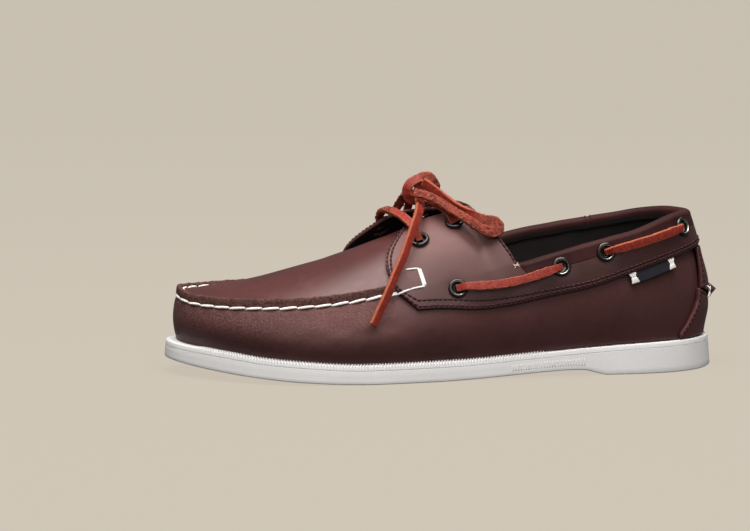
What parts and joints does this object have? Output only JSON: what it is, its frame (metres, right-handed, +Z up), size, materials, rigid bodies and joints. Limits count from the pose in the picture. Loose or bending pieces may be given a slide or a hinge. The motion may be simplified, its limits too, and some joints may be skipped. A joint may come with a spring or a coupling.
{
  "type": "boat shoe",
  "caption": "Left lace-up boat shoe: hollow leather moccasin upper on a low rubber sole, side lace through eyelets round a padded collar, bow on the tongue",
  "frame": {"origin": "on the ground under the middle of the shoe's box", "axes": "-X towards the toe, -Y towards the outer side of the foot, +Z up"},
  "size_m": [0.2928, 0.1097, 0.1034],
  "materials": {
    "brown_leather": "smooth dark brown leather, soft gloss",
    "white_rubber": "matt off-white rubber",
    "dark_lining": "dark lining",
    "black_enamel": "black enamel on rolled metal",
    "rust_thong": "rust brown lace leather",
    "white_thread": "waxed off-white thread",
    "dark_thread": "dark red-brown thread",
    "woven_label": "black woven tape"
  },
  "bodies": {
    "root": {"collar_binding": "brown_leather", "eyelet_side_lateral_1": "black_enamel", "eyelet_side_lateral_2": "black_enamel", "eyelet_side_lateral_3": "black_enamel", "eyelet_side_lateral_4": "black_enamel", "eyelet_side_medial_1": "black_enamel", "eyelet_side_medial_2": "black_enamel", "eyelet_side_medial_3": "black_enamel", "eyelet_side_medial_4": "black_enamel", "eyelet_throat_lateral_1": "black_enamel", "eyelet_throat_lateral_2": "black_enamel", "eyelet_throat_medial_1": "black_enamel", "eyelet_throat_medial_2": "black_enamel", "heel_counter": "brown_leather", "heel_strap": "brown_leather", "heel_tab": "brown_leather", "insole": "dark_lining", "lace_bar_front_lateral": "rust_thong", "lace_bar_front_medial": "rust_thong", "lace_bar_rear_lateral": "rust_thong", "lace_bar_rear_medial": "rust_thong", "lace_crossing_front": "rust_thong", "lace_crossing_rear": "rust_thong", "lace_knot": "rust_thong", "lace_loop_medial": "rust_thong", "lace_loop_rear": "rust_thong", "lace_tail_lateral": "rust_thong", "lace_tail_medial": "rust_thong", "outsole": "white_rubber", "saddle_lateral": "brown_leather", "saddle_medial": "brown_leather", "tongue": "brown_leather", "upper": "brown_leather"}
  },
  "joints": []
}
